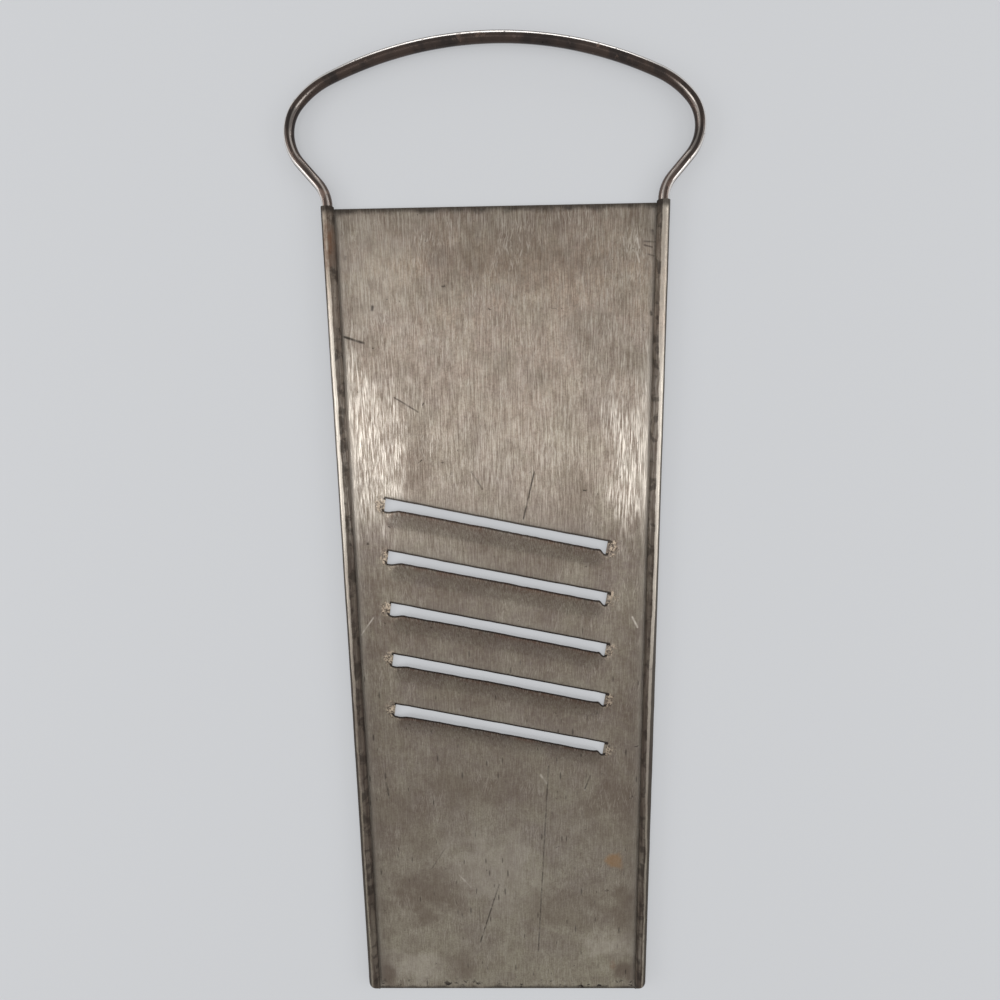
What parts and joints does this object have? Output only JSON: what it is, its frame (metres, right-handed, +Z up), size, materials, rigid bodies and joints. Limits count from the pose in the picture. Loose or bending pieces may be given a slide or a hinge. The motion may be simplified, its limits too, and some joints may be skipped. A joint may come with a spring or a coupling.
{
  "type": "slaw cutter",
  "caption": "Flat tinned-sheet slaw and cabbage cutter with slanted raised knives, long edges rolled round a wire, and a bow handle bent from that wire.",
  "frame": {"origin": "middle of the cutter's length and width, on the surface that its back lies on", "axes": "+X to the right seen from the cutting side with the bow at the top, +Y along the sheet towards the bow, +Z up out of the cutting side"},
  "size_m": [0.1352, 0.3564, 0.0048],
  "materials": {
    "tinned_sheet": "worn satin tin with fine lengthwise scratches and brown tarnish",
    "dark_wire": "brown-grey patina with rubbed bright lines"
  },
  "bodies": {
    "root": {"cutter_plate": "tinned_sheet", "handle_wire": "dark_wire"}
  },
  "joints": []
}
